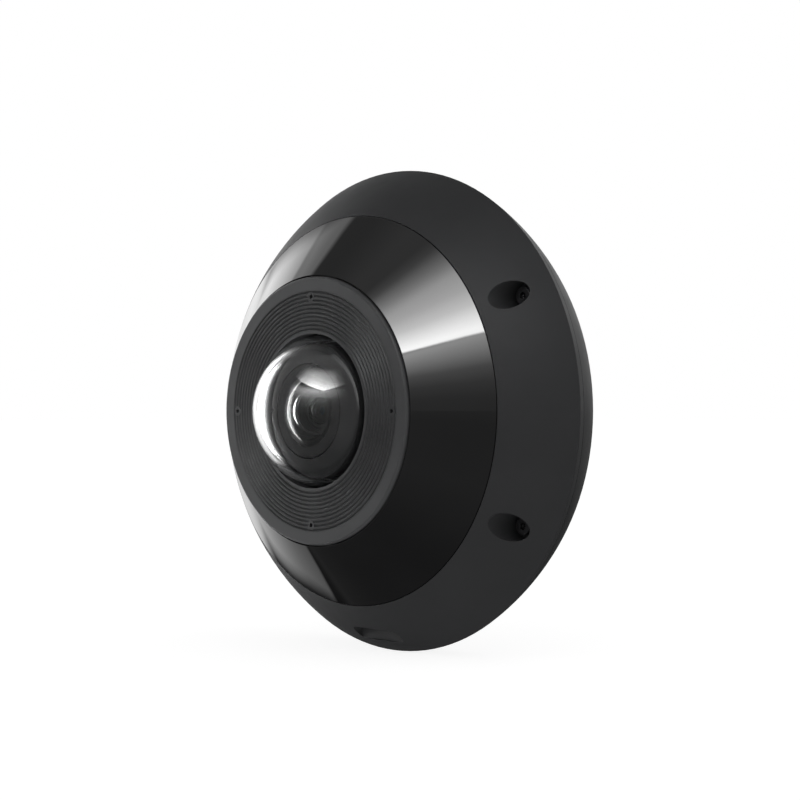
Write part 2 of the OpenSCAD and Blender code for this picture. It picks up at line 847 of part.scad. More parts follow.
module lens_lock_ring() {
    color("#b08d3c") axial() difference() {
        ring(tower_r - hole_gap, thread_r + fit_gap, tower_top_h, tower_top_h + lock_ring_t);
        for (a = [0 : 60 : 300]) polar(tower_r, a, 0)
            disc(lock_notch_r, tower_top_h - eps, tower_top_h + lock_ring_t + eps);
    }
}

// Block over the sensor with the filter's slot, and the tower that takes the barrel
module lens_holder() {
    color("#2f3033") axial() difference() {
        union() {
            block(holder_size, holder_h);
            disc(tower_r, holder_top_h, tower_top_h);
            translate([-shelf_w / 2, shelf_end_y, holder_h])
                cube([shelf_w, -shelf_end_y - holder_size[1] / 2 + eps, shelf_t]);
        }
        block([sensor_room[0], sensor_room[1], sensor_room[2] + eps], holder_h - eps);
        block([frame_size[0] + filter_travel + 2 * frame_gap, frame_size[1] + 2 * frame_gap, slot_t], slot_h);
        translate([-(lug_w + filter_travel) / 2 - frame_gap, -holder_size[1] / 2 - eps, slot_h])
            cube([lug_w + filter_travel + 2 * frame_gap, (holder_size[1] - frame_size[1]) / 2 + eps, slot_t]);
        disc(light_hole_r, slot_h, holder_top_h + eps);
        disc(thread_r + fit_gap, holder_top_h, tower_top_h + eps);
    }
}

// Slide with a window for each pane and a slotted lug for the lever; day is the rest position
module filter_frame() {
    color("#3b3d40") axial() at(filter_travel / 2, 0, 0) difference() {
        union() {
            block(frame_size, frame_h);
            translate([-lug_w / 2, lug_end_y, frame_h])
                cube([lug_w, -lug_end_y - frame_size[1] / 2 + eps, frame_size[2]]);
        }
        for (s = [-1, 1]) at(s * filter_travel / 2, 0, 0) {
            block([pane_size[0] - 2 * pane_lip, pane_size[1] - 2 * pane_lip, frame_size[2] + 2 * eps],
                  frame_h - eps);
            block([pane_size[0], pane_size[1], frame_size[2]], frame_h + frame_size[2] - pane_size[2]);
        }
        translate([-lug_slot_w / 2, lug_end_y + lug_lip, frame_h - eps])
            cube([lug_slot_w, lug_slot_len, frame_size[2] + 2 * eps]);
    }
}

module infrared_cut_glass() {
    color([0.2, 0.75, 0.7, 0.5]) axial() block(pane_size, frame_h + frame_size[2] - pane_size[2]);
}

module clear_glass() {
    color([0.9, 0.9, 0.95, 0.4]) axial() at(filter_travel, 0, 0)
        block(pane_size, frame_h + frame_size[2] - pane_size[2]);
}

// Magnet rotor with an arm, whose pin pushes the frame's lug
module filter_lever() {
    color("#6d4a2f") axial() at(0, lever_pivot_y, 0) rotate([0, 0, -lever_half_angle]) difference() {
        union() {
            disc(rotor_r, holder_h + shelf_t + frame_gap, lever_arm_h + lever_arm_t);
            translate([-lever_arm_w / 2, 0, lever_arm_h]) cube([lever_arm_w, lever_r, lever_arm_t]);
            at(0, lever_r, 0) disc(lever_arm_w / 2, lever_arm_h, lever_arm_h + lever_arm_t);
            at(0, lever_r, 0) disc(lever_pin_r, frame_h + frame_gap, lever_arm_h + eps / 2);
        }
        disc(pivot_r + fit_gap, holder_h, lever_arm_h + lever_arm_t + eps);
    }
}

// Coil and pivot pin that stand on the holder's shelf
module filter_coil() {
    color("#9c5a2c") axial() {
        translate([0, shelf_end_y + coil_size[1] / 2, 0]) block(coil_size, holder_h + shelf_t);
        at(0, lever_pivot_y, 0) disc(pivot_r, holder_h + shelf_t, lever_arm_h + lever_arm_t);
    }
}

module image_sensor() {
    color("#20304a") axial() block(sensor_size, holder_h);
}

module sensor_board() {
    color("#1f5138") axial() difference() {
        translate([-sensor_board_x, sensor_board_low_y, sensor_board_h])
            cube([2 * sensor_board_x, sensor_board_top_y - sensor_board_low_y, sensor_board_t]);
        for (p = sensor_screw_spots) at(p[0], p[1], 0)
            disc(m2_r + hole_gap, sensor_board_h - eps, holder_h + eps);
    }
}

module sensor_pad() {
    color("#8a8f98") axial() block([sensor_pad_w, sensor_pad_w, sensor_pad_t], chassis_top_h);
}

module sensor_screws() {
    color("silver") axial() for (p = sensor_screw_spots) at(p[0], p[1], 0)
        screw(m2_r, sensor_board_t + sensor_pad_t + chassis_t, m2_head_r, m2_head_h, holder_h);
}

// Ribbon at radius r that drops from an upper board and ends in a foot on the main board
module ribbon(r, a, h_top, top_run) {
    rotate([0, 0, a]) {
        translate([r, -flex_w / 2, board_top_h]) cube([flex_t, flex_w, h_top - board_top_h]);
        translate([r, -flex_w / 2, board_top_h]) cube([flex_foot, flex_w, flex_t]);
        translate([r - top_run, -flex_w / 2, h_top - flex_t]) cube([top_run + flex_t, flex_w, flex_t]);
    }
}

module sensor_flex() {
    color("#a86a1e") axial() ribbon(sensor_flex_r, sensor_flex_angle, holder_h + flex_t, sensor_flex_run);
}

module mic_flex() {
    color("#a86a1e") axial() ribbon(mic_flex_r, mic_flex_angle, mic_board_h, mic_flex_run);
}

module lamp_flex() {
    color("#a86a1e") axial() ribbon(lamp_flex_r, lamp_flex_angle, lamp_board_h, lamp_flex_run);
}

// Slot in the chassis plate that lets a ribbon pass
module ribbon_slot(r, a) {
    rotate([0, 0, a]) translate([r - flex_room, -flex_w / 2 - flex_room, chassis_h - eps])
        cube([flex_t + 2 * flex_room, flex_w + 2 * flex_room, chassis_t + 2 * eps]);
}

// Aluminium plate that carries the sensor board and draws its heat away
module chassis_plate() {
    color("#9aa0a6") axial() difference() {
        union() {
            disc(chassis_r, chassis_h, chassis_top_h);
            for (p = sensor_screw_spots) at(p[0], p[1], 0) disc(sensor_boss_r, chassis_h, sensor_board_h);
        }
        for (p = sensor_screw_spots) at(p[0], p[1], 0) disc(m2_r, chassis_h - eps, sensor_board_h + eps);
        for (a = post_angles) polar(post_ring_r, a, 0)
            disc(m3_r + hole_gap, chassis_h - eps, chassis_top_h + eps);
        ribbon_slot(sensor_flex_r, sensor_flex_angle);
        ribbon_slot(mic_flex_r, mic_flex_angle);
    }
}

module chassis_posts() {
    color("goldenrod") axial() for (a = post_angles) polar(post_ring_r, a, 0) difference() {
        translate([0, 0, board_top_h]) cylinder(r = post_r, h = chassis_h - board_top_h, $fn = 6);
        disc(m3_r, board_top_h - eps, chassis_h + eps);
    }
}

module chassis_screws() {
    color("silver") axial() for (a = post_angles) polar(post_ring_r, a, 0)
        screw(m3_r, chassis_t + chassis_h - board_top_h, m3_head_r, m3_head_h, chassis_top_h);
}

// Block that carries the main chip's heat to the chassis plate
module heat_spreader() {
    spreader_h = board_top_h + chip_size[2];
    color("#b5babf") axial() block(
        [chip_size[0] + spreader_margin, chip_size[1] + spreader_margin, chassis_h - spreader_h], spreader_h
    );
}

module main_chip() {
    color("#18191b") axial() block(chip_size, board_top_h);
}

module main_board() {
    color("#1f5138") axial() difference() {
        disc(board_r, board_h, board_top_h);
        for (a = post_angles) polar(post_ring_r, a, 0)
            disc(m3_r + hole_gap, board_h - eps, board_top_h + eps);
    }
}

// Hexagonal posts between the housing's floor and the main board
module board_posts() {
    color("goldenrod") axial() for (a = post_angles) polar(post_ring_r, a, 0) {
        translate([0, 0, housing_floor_h]) cylinder(r = post_r, h = board_h - housing_floor_h, $fn = 6);
        disc(m3_r, board_h - post_peg_len, board_top_h);
    }
}

module network_socket() {
    color("#3a3d42") axial() at(jack_x, jack_y, 0) difference() {
        block([jack_w, jack_d, jack_h], socket_h);
        block([jack_cavity_w, jack_cavity_h, jack_cavity_depth + eps], socket_h - eps);
        at(0, -jack_cavity_h / 2, 0)
            block([latch_w, 2 * latch_h, jack_cavity_depth + eps], socket_h - eps);
    }
}

module socket_contacts() {
    color("gold") axial() at(jack_x, jack_y, 0) for (i = [0 : contact_count - 1])
        at((i - (contact_count - 1) / 2) * contact_pitch, jack_cavity_h / 2 - contact_size[1] / 2, 0)
            block(contact_size, socket_h + jack_cavity_depth - contact_size[2]);
}

// Rubber frame that seals the socket in the housing's floor
module socket_gasket() {
    color("#161616") axial() at(jack_x, jack_y, 0) difference() {
        block([socket_room[0], socket_room[1], housing_floor_h - socket_h], socket_h);
        block([jack_w, jack_d, housing_wall + 2 * eps], socket_h - eps);
    }
}

module reset_switch() {
    color("#2a2a2c") axial() at(button_x, button_y, 0) difference() {
        block(switch_size, switch_face_h);
        disc(switch_cap_r + fit_gap, switch_face_h - eps, switch_face_h + switch_bore_depth);
    }
}

// Cap of the switch, which travels with the button
module reset_plunger() {
    color("#c9cacc") axial() at(button_x, button_y, 0)
        disc(switch_cap_r, switch_face_h - switch_cap_h, switch_cap_top_h);
}

// Stem with a flange that keeps it in the housing
module reset_button() {
    color("#c23b2e") axial() at(button_x, button_y, 0) {
        disc(button_r, housing_h + button_recess, housing_floor_h + eps);
        disc(button_flange_r, housing_floor_h + button_gap, housing_floor_h + button_gap + button_flange_t);
        disc(button_stem_r, housing_floor_h, switch_face_h - switch_cap_h);
    }
}

module pressure_vent() {
    color("#d8d8d4") axial() at(vent_x, vent_y, 0) difference() {
        union() {
            disc(vent_r - fit_gap, housing_h, housing_floor_h + eps);
            disc(vent_flange_r, housing_floor_h, housing_floor_h + vent_flange_t);
        }
        disc(vent_r - vent_rim_w, housing_h - eps, housing_floor_h);
    }
}

// Cast cup that holds the boards, with ears for the screws into the skirt
module inner_housing() {
    color("#3c3f43") axial() difference() {
        union() {
            disc(housing_r, housing_h, window_flange_h);
            for (i = [0 : ear_count - 1]) rotate([0, 0, i * 360 / ear_count]) {
                translate([housing_in_r, -ear_r, ear_h]) cube([ear_ring_r - housing_in_r, 2 * ear_r, ear_t]);
                polar(ear_ring_r, 0, 0) disc(ear_r, ear_h, seat_h);
            }
        }
        disc(housing_in_r, housing_floor_h, window_flange_h + eps);
        ring(
            housing_seal_r + housing_seal_w, housing_seal_r,
            window_flange_h - housing_seal_t, window_flange_h + eps
        );
        around(ear_ring_r, ear_count, 0)
            disc(m3_r + hole_gap, ear_h - eps, seat_h + eps);
        at(jack_x, jack_y, 0)
            block([socket_room[0], socket_room[1], housing_wall + 2 * eps], housing_h - eps);
        at(button_x, button_y, 0) disc(button_r + fit_gap, housing_h - eps, housing_floor_h + eps);
        at(vent_x, vent_y, 0) disc(vent_r, housing_h - eps, housing_floor_h + eps);
    }
}

module housing_seal() {
    color("#1b1b1b") axial() ring(
        housing_seal_r + housing_seal_w, housing_seal_r,
        window_flange_h - housing_seal_t, window_flange_h
    );
}

// Screws that hold the housing to the skirt, from behind
module housing_screws() {
    color("silver") axial() around(ear_ring_r, ear_count, 0) at(0, 0, ear_h) mirror([0, 0, 1])
        screw(pilot_r, ear_t + pilot_depth - pilot_room, m3_head_r, m3_head_h, 0);
}

module lamp_board() {
    color("#e8e8e4") axial() ring(
        lamp_ring_r + lamp_board_half_w, lamp_ring_r - lamp_board_half_w,
        lamp_board_h, lamp_board_h + lamp_board_t
    );
}

module infrared_lamps() {
    color("#d9d2b0") axial()
        around(lamp_ring_r, ir_led_count, 180 / ir_led_count) {
            block(lamp_size, lamp_board_h + lamp_board_t);
            intersection() {
                at(0, 0, lamp_board_h + lamp_board_t + lamp_size[2]) sphere(r = lamp_dome_r);
                disc(lamp_dome_r, lamp_board_h + lamp_board_t, lamp_board_h + lamp_board_t + 2 * lamp_dome_r);
            }
        }
}

module lamp_posts() {
    color("goldenrod") axial() around(chassis_r - lamp_post_r - lamp_post_inset, lamp_post_count, 0)
            disc(lamp_post_r, chassis_top_h, lamp_board_h);
}

// Sealing rings under the heads of the security screws
module screw_seals() {
    color("#161616") axial() for (a = screw_angles) polar(screw_r, a, 0)
        ring(screw_head_d / 2, screw_d / 2 + fit_gap, seat_h, seat_h + screw_seal_t);
}

// Star-shaped recess with a pin in its middle
module star_recess() {
    difference() {
        union() {
            circle(r = torx_r * (1 - star_lobe / 2));
            for (a = [0 : 60 : 300]) rotate(a) translate([torx_r * (1 - star_lobe), 0])
                circle(r = torx_r * star_lobe);
        }
        circle(r = torx_pin_r);
    }
}

// Captive screw i, counted anticlockwise from the upper right as seen from the front
module security_screw(i) {
    color("#2c2d2f") axial() polar(screw_r, screw_angles[i], 0) difference() {
        union() {
            disc(screw_d / 2, screw_under_h - screw_len, screw_under_h);
            disc(screw_head_d / 2, screw_under_h, screw_under_h + screw_head_h);
        }
        translate([0, 0, screw_under_h + screw_head_h - torx_depth])
            linear_extrude(height = torx_depth + eps) star_recess();
    }
}

mount_base();
wall_gasket();
skirt_shell();
infrared_window();
window_seal();
ring_seal();
front_ring();
dome_cover();
dome_seal();
front_bracket();
ring_screws();
mic_board();
microphones();
lens_shroud();
lens_bezel();
front_glass();
second_glass();
rear_glasses();
lens_spacers();
aperture_stop();
lens_barrel();
lens_lock_ring();
lens_holder();
filter_frame();
infrared_cut_glass();
clear_glass();
filter_lever();
filter_coil();
image_sensor();
sensor_board();
sensor_pad();
sensor_screws();
sensor_flex();
mic_flex();
lamp_flex();
chassis_plate();
chassis_posts();
chassis_screws();
heat_spreader();
main_chip();
main_board();
board_posts();
network_socket();
socket_contacts();
socket_gasket();
reset_switch();
reset_plunger();
reset_button();
pressure_vent();
inner_housing();
housing_seal();
housing_screws();
lamp_board();
infrared_lamps();
lamp_posts();
screw_seals();
security_screw(0);  // security_screw_1
security_screw(1);  // security_screw_2
security_screw(2);  // security_screw_3
security_screw(3);  // security_screw_4
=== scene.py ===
"""Looks of a 360 degree camera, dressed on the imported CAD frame.

Lengths are in metres and in the frame's axes: the lens looks along -Y, +Z is up.
"""

import math

import bpy
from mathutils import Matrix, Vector


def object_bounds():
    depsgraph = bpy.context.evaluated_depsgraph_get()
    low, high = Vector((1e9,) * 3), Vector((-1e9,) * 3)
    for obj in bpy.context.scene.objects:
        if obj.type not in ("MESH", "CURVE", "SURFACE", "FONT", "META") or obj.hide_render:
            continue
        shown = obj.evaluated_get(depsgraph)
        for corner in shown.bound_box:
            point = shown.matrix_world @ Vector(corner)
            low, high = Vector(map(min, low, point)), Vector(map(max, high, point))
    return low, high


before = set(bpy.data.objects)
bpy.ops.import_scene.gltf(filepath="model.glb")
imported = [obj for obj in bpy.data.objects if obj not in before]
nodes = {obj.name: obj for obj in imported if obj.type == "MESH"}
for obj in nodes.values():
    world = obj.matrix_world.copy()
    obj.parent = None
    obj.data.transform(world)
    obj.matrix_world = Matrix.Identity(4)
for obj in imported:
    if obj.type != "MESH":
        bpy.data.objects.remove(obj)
cad_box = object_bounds()
scene = bpy.context.scene

# Nearly all values of a noise lie between these two
NOISE_LOW = 0.3
NOISE_HIGH = 0.7
# A ray's counts of bounces are whole numbers, so this one parts none from some
FIRST_BOUNCE = 0.5
BEVEL_SAMPLES = 4
WHITE = (1, 1, 1, 1)


def shader(name):
    """New node material, with its tree and its Principled shader."""
    m = bpy.data.materials.new(name)
    m.use_nodes = True
    tree = m.node_tree
    return m, tree, tree.nodes["Principled BSDF"]


def add(tree, kind, **values):
    """New node. A value is a property of the node or, with _ for each space, one of its inputs."""
    n = tree.nodes.new(kind)
    for k, v in values.items():
        if hasattr(n, k):
            setattr(n, k, v)
        else:
            n.inputs[k.replace("_", " ")].default_value = v
    return n


def place(tree):
    """Place on the object, in metres."""
    return add(tree, "ShaderNodeTexCoord").outputs["Object"]


def math_node(tree, operation, a, b=None):
    n = tree.nodes.new("ShaderNodeMath")
    n.operation = operation
    for i, v in enumerate((a, b)):
        if v is None:
            continue
        if isinstance(v, (int, float)):
            n.inputs[i].default_value = v
        else:
            tree.links.new(v, n.inputs[i])
    return n.outputs[0]


def noise(tree, vector, scale, octaves, grit=0.5):
    n = add(tree, "ShaderNodeTexNoise", Scale=scale, Detail=octaves, Roughness=grit)
    tree.links.new(vector, n.inputs["Vector"])
    return n.outputs["Fac"]


def spread(tree, value, low, high, from_low=NOISE_LOW, from_high=NOISE_HIGH):
    """Takes a value from one range to another and keeps it there."""
    n = add(tree, "ShaderNodeMapRange", From_Min=from_low, From_Max=from_high, To_Min=low, To_Max=high)
    tree.links.new(value, n.inputs["Value"])
    return n.outputs["Result"]


def blend_colour(tree, fac, low, high):
    n = add(tree, "ShaderNodeMix", data_type="RGBA")
    n.inputs["A"].default_value = (*low, 1)
    n.inputs["B"].default_value = (*high, 1)
    tree.links.new(fac, n.inputs["Factor"])
    return n.outputs["Result"]


def tone(colour, share):
    return tuple(min(1.0, c * share) for c in colour)


def mapped(tree, vector, setting, value):
    """The place stretched or turned by a Mapping node, whose setting is Scale or Rotation."""
    n = add(tree, "ShaderNodeMapping")
    n.inputs[setting].default_value = value
    tree.links.new(vector, n.inputs["Vector"])
    return n.outputs["Vector"]


def emboss(tree, bsdf, height, depth, strength=1.0, edge=0.0):
    """Bump of a height map; edge is the radius in metres to which sharp edges look rounded."""
    relief = add(tree, "ShaderNodeBump", Strength=strength, Distance=depth)
    tree.links.new(height, relief.inputs["Height"])
    if edge:
        soft = add(tree, "ShaderNodeBevel", samples=BEVEL_SAMPLES, Radius=edge)
        tree.links.new(soft.outputs["Normal"], relief.inputs["Normal"])
    tree.links.new(relief.outputs["Normal"], bsdf.inputs["Normal"])


def cover(tree, under, over, share):
    """Material output: one shader laid over another to the given share."""
    mix = add(tree, "ShaderNodeMixShader")
    tree.links.new(share, mix.inputs[0])
    tree.links.new(under.outputs[0], mix.inputs[1])
    tree.links.new(over.outputs[0], mix.inputs[2])
    tree.links.new(mix.outputs[0], tree.nodes["Material Output"].inputs["Surface"])


# How much finer than its mottled colour the gloss of a surface swings, and the roughness of a clear coat
GLOSS_FINENESS = 2.3
COAT_ROUGH = 0.05
PLASTIC_IOR = 1.5


def surface(name, colour, rough, mottle=0.08, mottle_size=0.012, grain=0.0003, bump=0.00001,
            rough_swing=0.04, metallic=0.0, specular=0.5, coat=0.0, edge=0.0, stretch=(1, 1, 1), fleck=0.0):
    """Moulded, painted, cast or machined surface: mottled colour, uneven gloss, fine grain and soft edges.

    mottle is the share by which the colour swings and fleck is the grain's part in it. mottle_size, grain,
    bump and edge are in metres. stretch draws the grain out.
    """
    m, t, p = shader(name)
    where = place(t)
    wide = noise(t, where, 1 / mottle_size, octaves=4, grit=0.6)
    fine = noise(t, mapped(t, where, "Scale", stretch), 1 / grain, octaves=2, grit=0.6)
    wide_part = math_node(t, "MULTIPLY", wide, 1 - fleck)
    fine_part = math_node(t, "MULTIPLY", fine, fleck)
    swing = spread(t, math_node(t, "ADD", wide_part, fine_part), 0, 1)
    t.links.new(blend_colour(t, swing, tone(colour, 1 - mottle), tone(colour, 1 + mottle)),
                p.inputs["Base Color"])
    gloss = noise(t, where, GLOSS_FINENESS / mottle_size, octaves=3)
    t.links.new(spread(t, gloss, rough - rough_swing, rough + rough_swing), p.inputs["Roughness"])
    p.inputs["Metallic"].default_value = metallic
    p.inputs["IOR"].default_value = PLASTIC_IOR
    p.inputs["Specular IOR Level"].default_value = specular
    p.inputs["Coat Weight"].default_value = coat
    p.inputs["Coat Roughness"].default_value = COAT_ROUGH
    emboss(t, p, fine, bump, edge=edge)
    return m


# Dust on a clear solid: its fineness in a metre, the noise that counts, and what it does to tint and gloss
DUST_SCALE = 420
DUST_LOW = 0.35
DUST_HIGH = 0.75
DUSTY_TINT = 0.985
DUSTY_ROUGH = 0.012
# Share of its tint that light keeps on its way through a clear solid to other surfaces
PASSING_TINT = 0.97


def clear(name, colour, ior, reflection=None):
    """Clear solid that light passes straight through on its way to what lies behind it.

    reflection tints and weakens what it mirrors, as a coated lens does.
    """
    m, t, p = shader(name)
    dust = spread(t, noise(t, place(t), DUST_SCALE, octaves=5, grit=0.7), 0, 1, DUST_LOW, DUST_HIGH)
    t.links.new(blend_colour(t, dust, colour, tone(colour, DUSTY_TINT)), p.inputs["Base Color"])
    t.links.new(spread(t, dust, 0, DUSTY_ROUGH, 0, 1), p.inputs["Roughness"])
    p.inputs["Transmission Weight"].default_value = 1
    p.inputs["IOR"].default_value = ior
    if reflection:
        p.inputs["Specular Tint"].default_value = (*reflection, 1)
    path = add(t, "ShaderNodeLightPath")
    passing = math_node(t, "MAXIMUM", path.outputs["Is Shadow Ray"], path.outputs["Is Diffuse Ray"])
    through = add(t, "ShaderNodeBsdfTransparent", Color=(*tone(colour, PASSING_TINT), 1))
    cover(t, p, through, passing)
    return m


# Circuit board: scale and width of its tracks, which are the joints of a brick pattern, and its gloss
TRACK_SCALE = 180
TRACK_WIDTH = 0.05
TRACK_HEIGHT = 0.00002
BLACK = (0, 0, 0, 1)
DARK = (0.15, 0.15, 0.15, 1)
MASK_SCALE = 900
MASK_ROUGH_LOW = 0.3
MASK_ROUGH_HIGH = 0.42


def board(name, mask, trace):
    """Circuit board: solder mask with tracks that run in straight lanes under it."""
    m, t, p = shader(name)
    where = place(t)
    lanes = add(t, "ShaderNodeTexBrick", Scale=TRACK_SCALE, Mortar_Size=TRACK_WIDTH,
                Color1=BLACK, Color2=DARK, Mortar=WHITE)
    t.links.new(mapped(t, where, "Rotation", (math.pi / 2, 0, 0)), lanes.inputs["Vector"])
    t.links.new(blend_colour(t, lanes.outputs["Color"], mask, trace), p.inputs["Base Color"])
    t.links.new(spread(t, noise(t, where, MASK_SCALE, octaves=2), MASK_ROUGH_LOW, MASK_ROUGH_HIGH),
                p.inputs["Roughness"])
    emboss(t, p, lanes.outputs["Color"], TRACK_HEIGHT, strength=0.6)
    return m


# Grooved zone of the front ring from the lens axis, how softly it ends and how much painted shade darkens
# it, in place of the shade deep in the grooves
GROOVES_START = 0.0260
GROOVES_END = 0.0387
GROOVES_FADE = 0.0006
PAINTED_GROOVE_SHADE = 0.30
# The ring's fineness in a metre of grain, mottle and gloss, its swings, and the tool marks on it
RING_GRAIN = 2600
RING_MOTTLE = 70
RING_GLOSS = 160
RING_DARKEST = 0.86
RING_BRIGHTEST = 1.07
RING_ROUGH_SWING = 0.04
TOOL_MARK_SHARE = 0.25
TOOL_MARK_HEIGHT = 0.000006


def turned_ring(name, colour, rough, specular, edge, pitch):
    """Satin moulding whose tool left fine rings about the lens axis, pitch metres apart; its grooved zone
    gets painted shade.
    """
    m, t, p = shader(name)
    where = place(t)
    parts = add(t, "ShaderNodeSeparateXYZ")
    t.links.new(where, parts.inputs[0])
    squares = [math_node(t, "MULTIPLY", parts.outputs[i], parts.outputs[i]) for i in ("X", "Z")]
    radius = math_node(t, "SQRT", math_node(t, "ADD", *squares))
    ripple = math_node(t, "SINE", math_node(t, "MULTIPLY", radius, 2 * math.pi / pitch))
    grain = noise(t, where, RING_GRAIN, octaves=2)
    before_end = spread(t, radius, 1, 0, GROOVES_END, GROOVES_END + GROOVES_FADE)
    past_start = spread(t, radius, 0, 1, GROOVES_START - GROOVES_FADE, GROOVES_START)
    # Painted shade over the grooved zone, standing in for the shade that falls deep in the grooves
    shade = math_node(t, "MULTIPLY", math_node(t, "MULTIPLY", before_end, past_start), PAINTED_GROOVE_SHADE)
    wide = spread(t, noise(t, where, RING_MOTTLE, octaves=3), RING_DARKEST, 1)
    # Colour swing: random mottle, less the painted groove shade
    swing = math_node(t, "SUBTRACT", wide, shade)
    t.links.new(blend_colour(t, swing, (0, 0, 0), tone(colour, RING_BRIGHTEST)), p.inputs["Base Color"])
    gloss = noise(t, where, RING_GLOSS, octaves=3)
    t.links.new(spread(t, gloss, rough - RING_ROUGH_SWING, rough + RING_ROUGH_SWING), p.inputs["Roughness"])
    p.inputs["Specular IOR Level"].default_value = specular
    height = math_node(t, "ADD", math_node(t, "MULTIPLY", ripple, TOOL_MARK_SHARE), grain)
    emboss(t, p, height, TOOL_MARK_HEIGHT, edge=edge)
    return m


def open_view(tree):
    """1 where the camera looks straight at the background, or through clear glass alone."""
    path = add(tree, "ShaderNodeLightPath")
    bounces = math_node(tree, "ADD", path.outputs["Glossy Depth"], path.outputs["Diffuse Depth"])
    straight = math_node(tree, "LESS_THAN", bounces, FIRST_BOUNCE)
    through = math_node(tree, "MULTIPLY", path.outputs["Is Transmission Ray"], straight)
    return math_node(tree, "MAXIMUM", path.outputs["Is Camera Ray"], through)


def dress(material, *names):
    """Gives the named nodes one material."""
    for n in names:
        o = nodes[n]
        o.data.materials.clear()
        o.data.materials.append(material)
        for poly in o.data.polygons:
            poly.material_index = 0


def line_inside(name, lining):
    """Second material for the faces of a dome that look at the lens axis."""
    o = nodes[name]
    o.data.materials.append(lining)
    for poly in o.data.polygons:
        out = Vector((poly.center.x, 0, poly.center.z))
        if poly.normal.dot(out) < 0:
            poly.material_index = 1


# Clear solids: the tint of the dome, and how strongly each kind bends light
DOME_TINT = (0.985, 0.99, 0.99)
DOME_IOR = 1.58
LENS_IOR = 1.62
FILTER_IOR = 1.5

# Shell
dress(surface("skirt_matte", (0.0275, 0.0278, 0.0288), 0.50, mottle=0.05, mottle_size=0.03, grain=0.00035,
              bump=0.000014, edge=0.0003, specular=0.085), "skirt_shell")
dress(surface("base_matte", (0.0215, 0.0218, 0.0225), 0.46, mottle=0.05, mottle_size=0.03, grain=0.00035,
              bump=0.000014, edge=0.0003, specular=0.05), "mount_base")
dress(surface("window_polished", (0.0035, 0.0035, 0.0037), 0.028, mottle=0.15, mottle_size=0.02,
              grain=0.004, bump=0.000001, rough_swing=0.008, edge=0.0002), "infrared_window")
dress(turned_ring("ring_satin", (0.051, 0.0516, 0.0530), rough=0.45, specular=0.12, edge=0.00005,
                  pitch=0.00022), "front_ring")
dress(clear("dome_polycarbonate", DOME_TINT, DOME_IOR), "dome_cover")
line_inside("dome_cover", clear("dome_inside_coated", DOME_TINT, DOME_IOR, reflection=(0.06, 0.06, 0.062)))

# Lens
dress(surface("shroud_matte", (0.020, 0.020, 0.0206), 0.55, mottle=0.06, grain=0.0003, bump=0.00001,
              edge=0.0002, specular=0.06), "lens_shroud")
dress(surface("bezel_matte", (0.009, 0.009, 0.0094), 0.42, mottle=0.06, grain=0.00025, bump=0.000008,
              edge=0.00015, fleck=0.4, specular=0.09), "lens_bezel")
dress(surface("anodised_black", (0.008, 0.008, 0.0084), 0.40, mottle=0.1, grain=0.0002, bump=0.000006,
              specular=0.2, stretch=(1, 12, 1), fleck=0.5), "lens_barrel", "lens_spacers", "aperture_stop")
dress(clear("lens_glass_coated", (0.97, 0.985, 0.98), LENS_IOR, reflection=(0.05, 0.058, 0.053)),
      "front_glass", "second_glass", "rear_glasses")

# Night filter and sensor
dress(clear("filter_glass_clear", (0.98, 0.98, 0.985), FILTER_IOR), "clear_glass")
dress(clear("filter_glass_cyan", (0.35, 0.82, 0.75), FILTER_IOR), "infrared_cut_glass")
dress(surface("holder_moulding", (0.028, 0.028, 0.030), 0.50, mottle=0.1, grain=0.0003, bump=0.000012),
      "lens_holder", "filter_frame")
dress(surface("magnet_moulding", (0.10, 0.055, 0.03), 0.55, mottle=0.2, mottle_size=0.001, grain=0.0003,
              bump=0.00002, fleck=0.5), "filter_lever")
dress(surface("coil_enamel", (0.48, 0.19, 0.07), 0.25, mottle=0.1, grain=0.00018, bump=0.00004,
              metallic=0.6, stretch=(1, 0.05, 1), fleck=0.6), "filter_coil")
dress(surface("sensor_face", (0.03, 0.045, 0.085), 0.12, mottle=0.3, mottle_size=0.001, grain=0.0002,
              bump=0.000002, coat=1.0), "image_sensor")
dress(surface("heat_pad", (0.30, 0.32, 0.36), 0.82, mottle=0.12, mottle_size=0.002, grain=0.0003,
              bump=0.00003, fleck=0.5), "sensor_pad")

# Seals
dress(surface("seal_rubber", (0.012, 0.012, 0.012), 0.72, mottle=0.15, mottle_size=0.003, grain=0.0004,
              bump=0.00002),
      "window_seal", "ring_seal", "dome_seal", "housing_seal", "screw_seals", "socket_gasket")
dress(surface("foam_rubber", (0.016, 0.016, 0.016), 0.88, mottle=0.35, mottle_size=0.002, grain=0.0006,
              bump=0.00012, fleck=0.6), "wall_gasket")

# Metal
dress(surface("screw_blackened", (0.055, 0.055, 0.058), 0.36, mottle=0.18, mottle_size=0.002,
              grain=0.00018, bump=0.000008, metallic=0.85, edge=0.0002, fleck=0.3),
      "security_screw_1", "security_screw_2", "security_screw_3", "security_screw_4")
dress(surface("screw_zinc", (0.60, 0.60, 0.57), 0.28, mottle=0.12, mottle_size=0.002, grain=0.0002,
              bump=0.000008, metallic=1.0, fleck=0.3),
      "ring_screws", "sensor_screws", "chassis_screws", "housing_screws")
dress(surface("brass_turned", (0.72, 0.55, 0.24), 0.30, grain=0.00015, bump=0.000008, metallic=1.0,
              stretch=(1, 10, 1)), "chassis_posts", "board_posts", "lamp_posts", "lens_lock_ring")
dress(surface("aluminium_milled", (0.62, 0.63, 0.64), 0.34, mottle=0.06, grain=0.00025, metallic=1.0,
              stretch=(14, 1, 1)), "chassis_plate", "heat_spreader", "front_bracket")
dress(surface("housing_cast_paint", (0.045, 0.046, 0.049), 0.56, mottle=0.12, mottle_size=0.004,
              grain=0.0006, bump=0.00003, edge=0.0003, fleck=0.4), "inner_housing")
dress(surface("contact_gold", (0.83, 0.63, 0.24), 0.22, mottle=0.06, grain=0.0001, bump=0.000003,
              metallic=1.0), "socket_contacts", "microphones")

